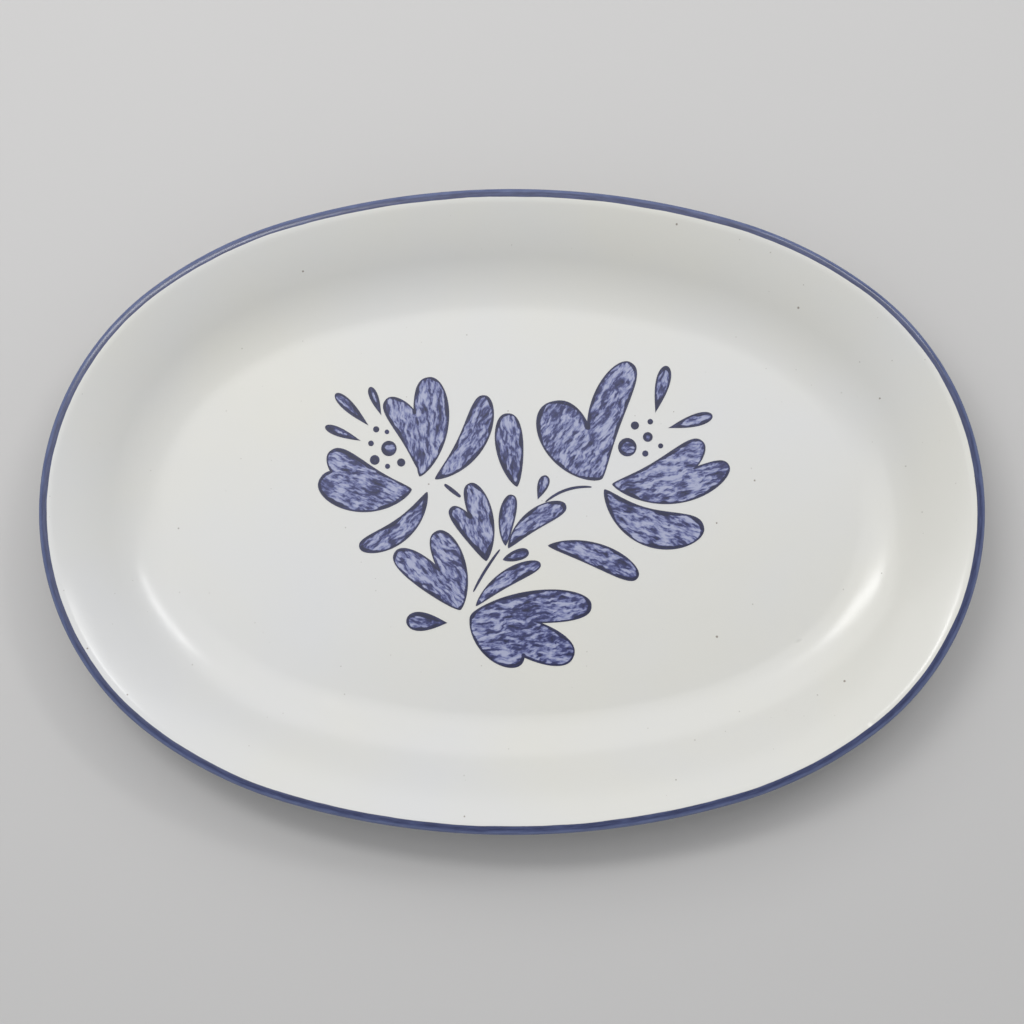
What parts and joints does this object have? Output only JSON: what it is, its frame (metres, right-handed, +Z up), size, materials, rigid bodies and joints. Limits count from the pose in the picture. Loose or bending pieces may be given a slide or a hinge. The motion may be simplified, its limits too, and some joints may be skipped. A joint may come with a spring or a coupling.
{
  "type": "oval serving platter",
  "caption": "Shallow oval stoneware serving platter, glazed white, with a blue band round the lip and a painted flower spray on the floor of the well.",
  "frame": {"origin": "on the table, under the centre of the foot ring", "axes": "+X along the length, +Y across the width, +Z up out of the well"},
  "size_m": [0.362, 0.248, 0.0307],
  "materials": {
    "fired_clay": "matt, bare only on the tread of the foot ring",
    "white_glaze": "satin gloss, off-white with fine dark specks",
    "blue_band": "satin gloss, streaked slate blue",
    "blue_wash": "satin gloss, mottled and streaked",
    "navy_outline": "satin gloss"
  },
  "bodies": {
    "root": {"stoneware_body": "fired_clay", "face_glaze": "white_glaze", "back_glaze": "white_glaze", "base_glaze": "white_glaze", "rim_band": "blue_band", "left_flower_wash": "blue_wash", "left_flower_outline": "navy_outline", "right_flower_wash": "blue_wash", "right_flower_outline": "navy_outline", "bud_wash": "blue_wash", "bud_outline": "navy_outline", "sprig_wash": "blue_wash", "sprig_outline": "navy_outline", "leaves_wash": "blue_wash", "leaves_outline": "navy_outline"}
  },
  "joints": []
}
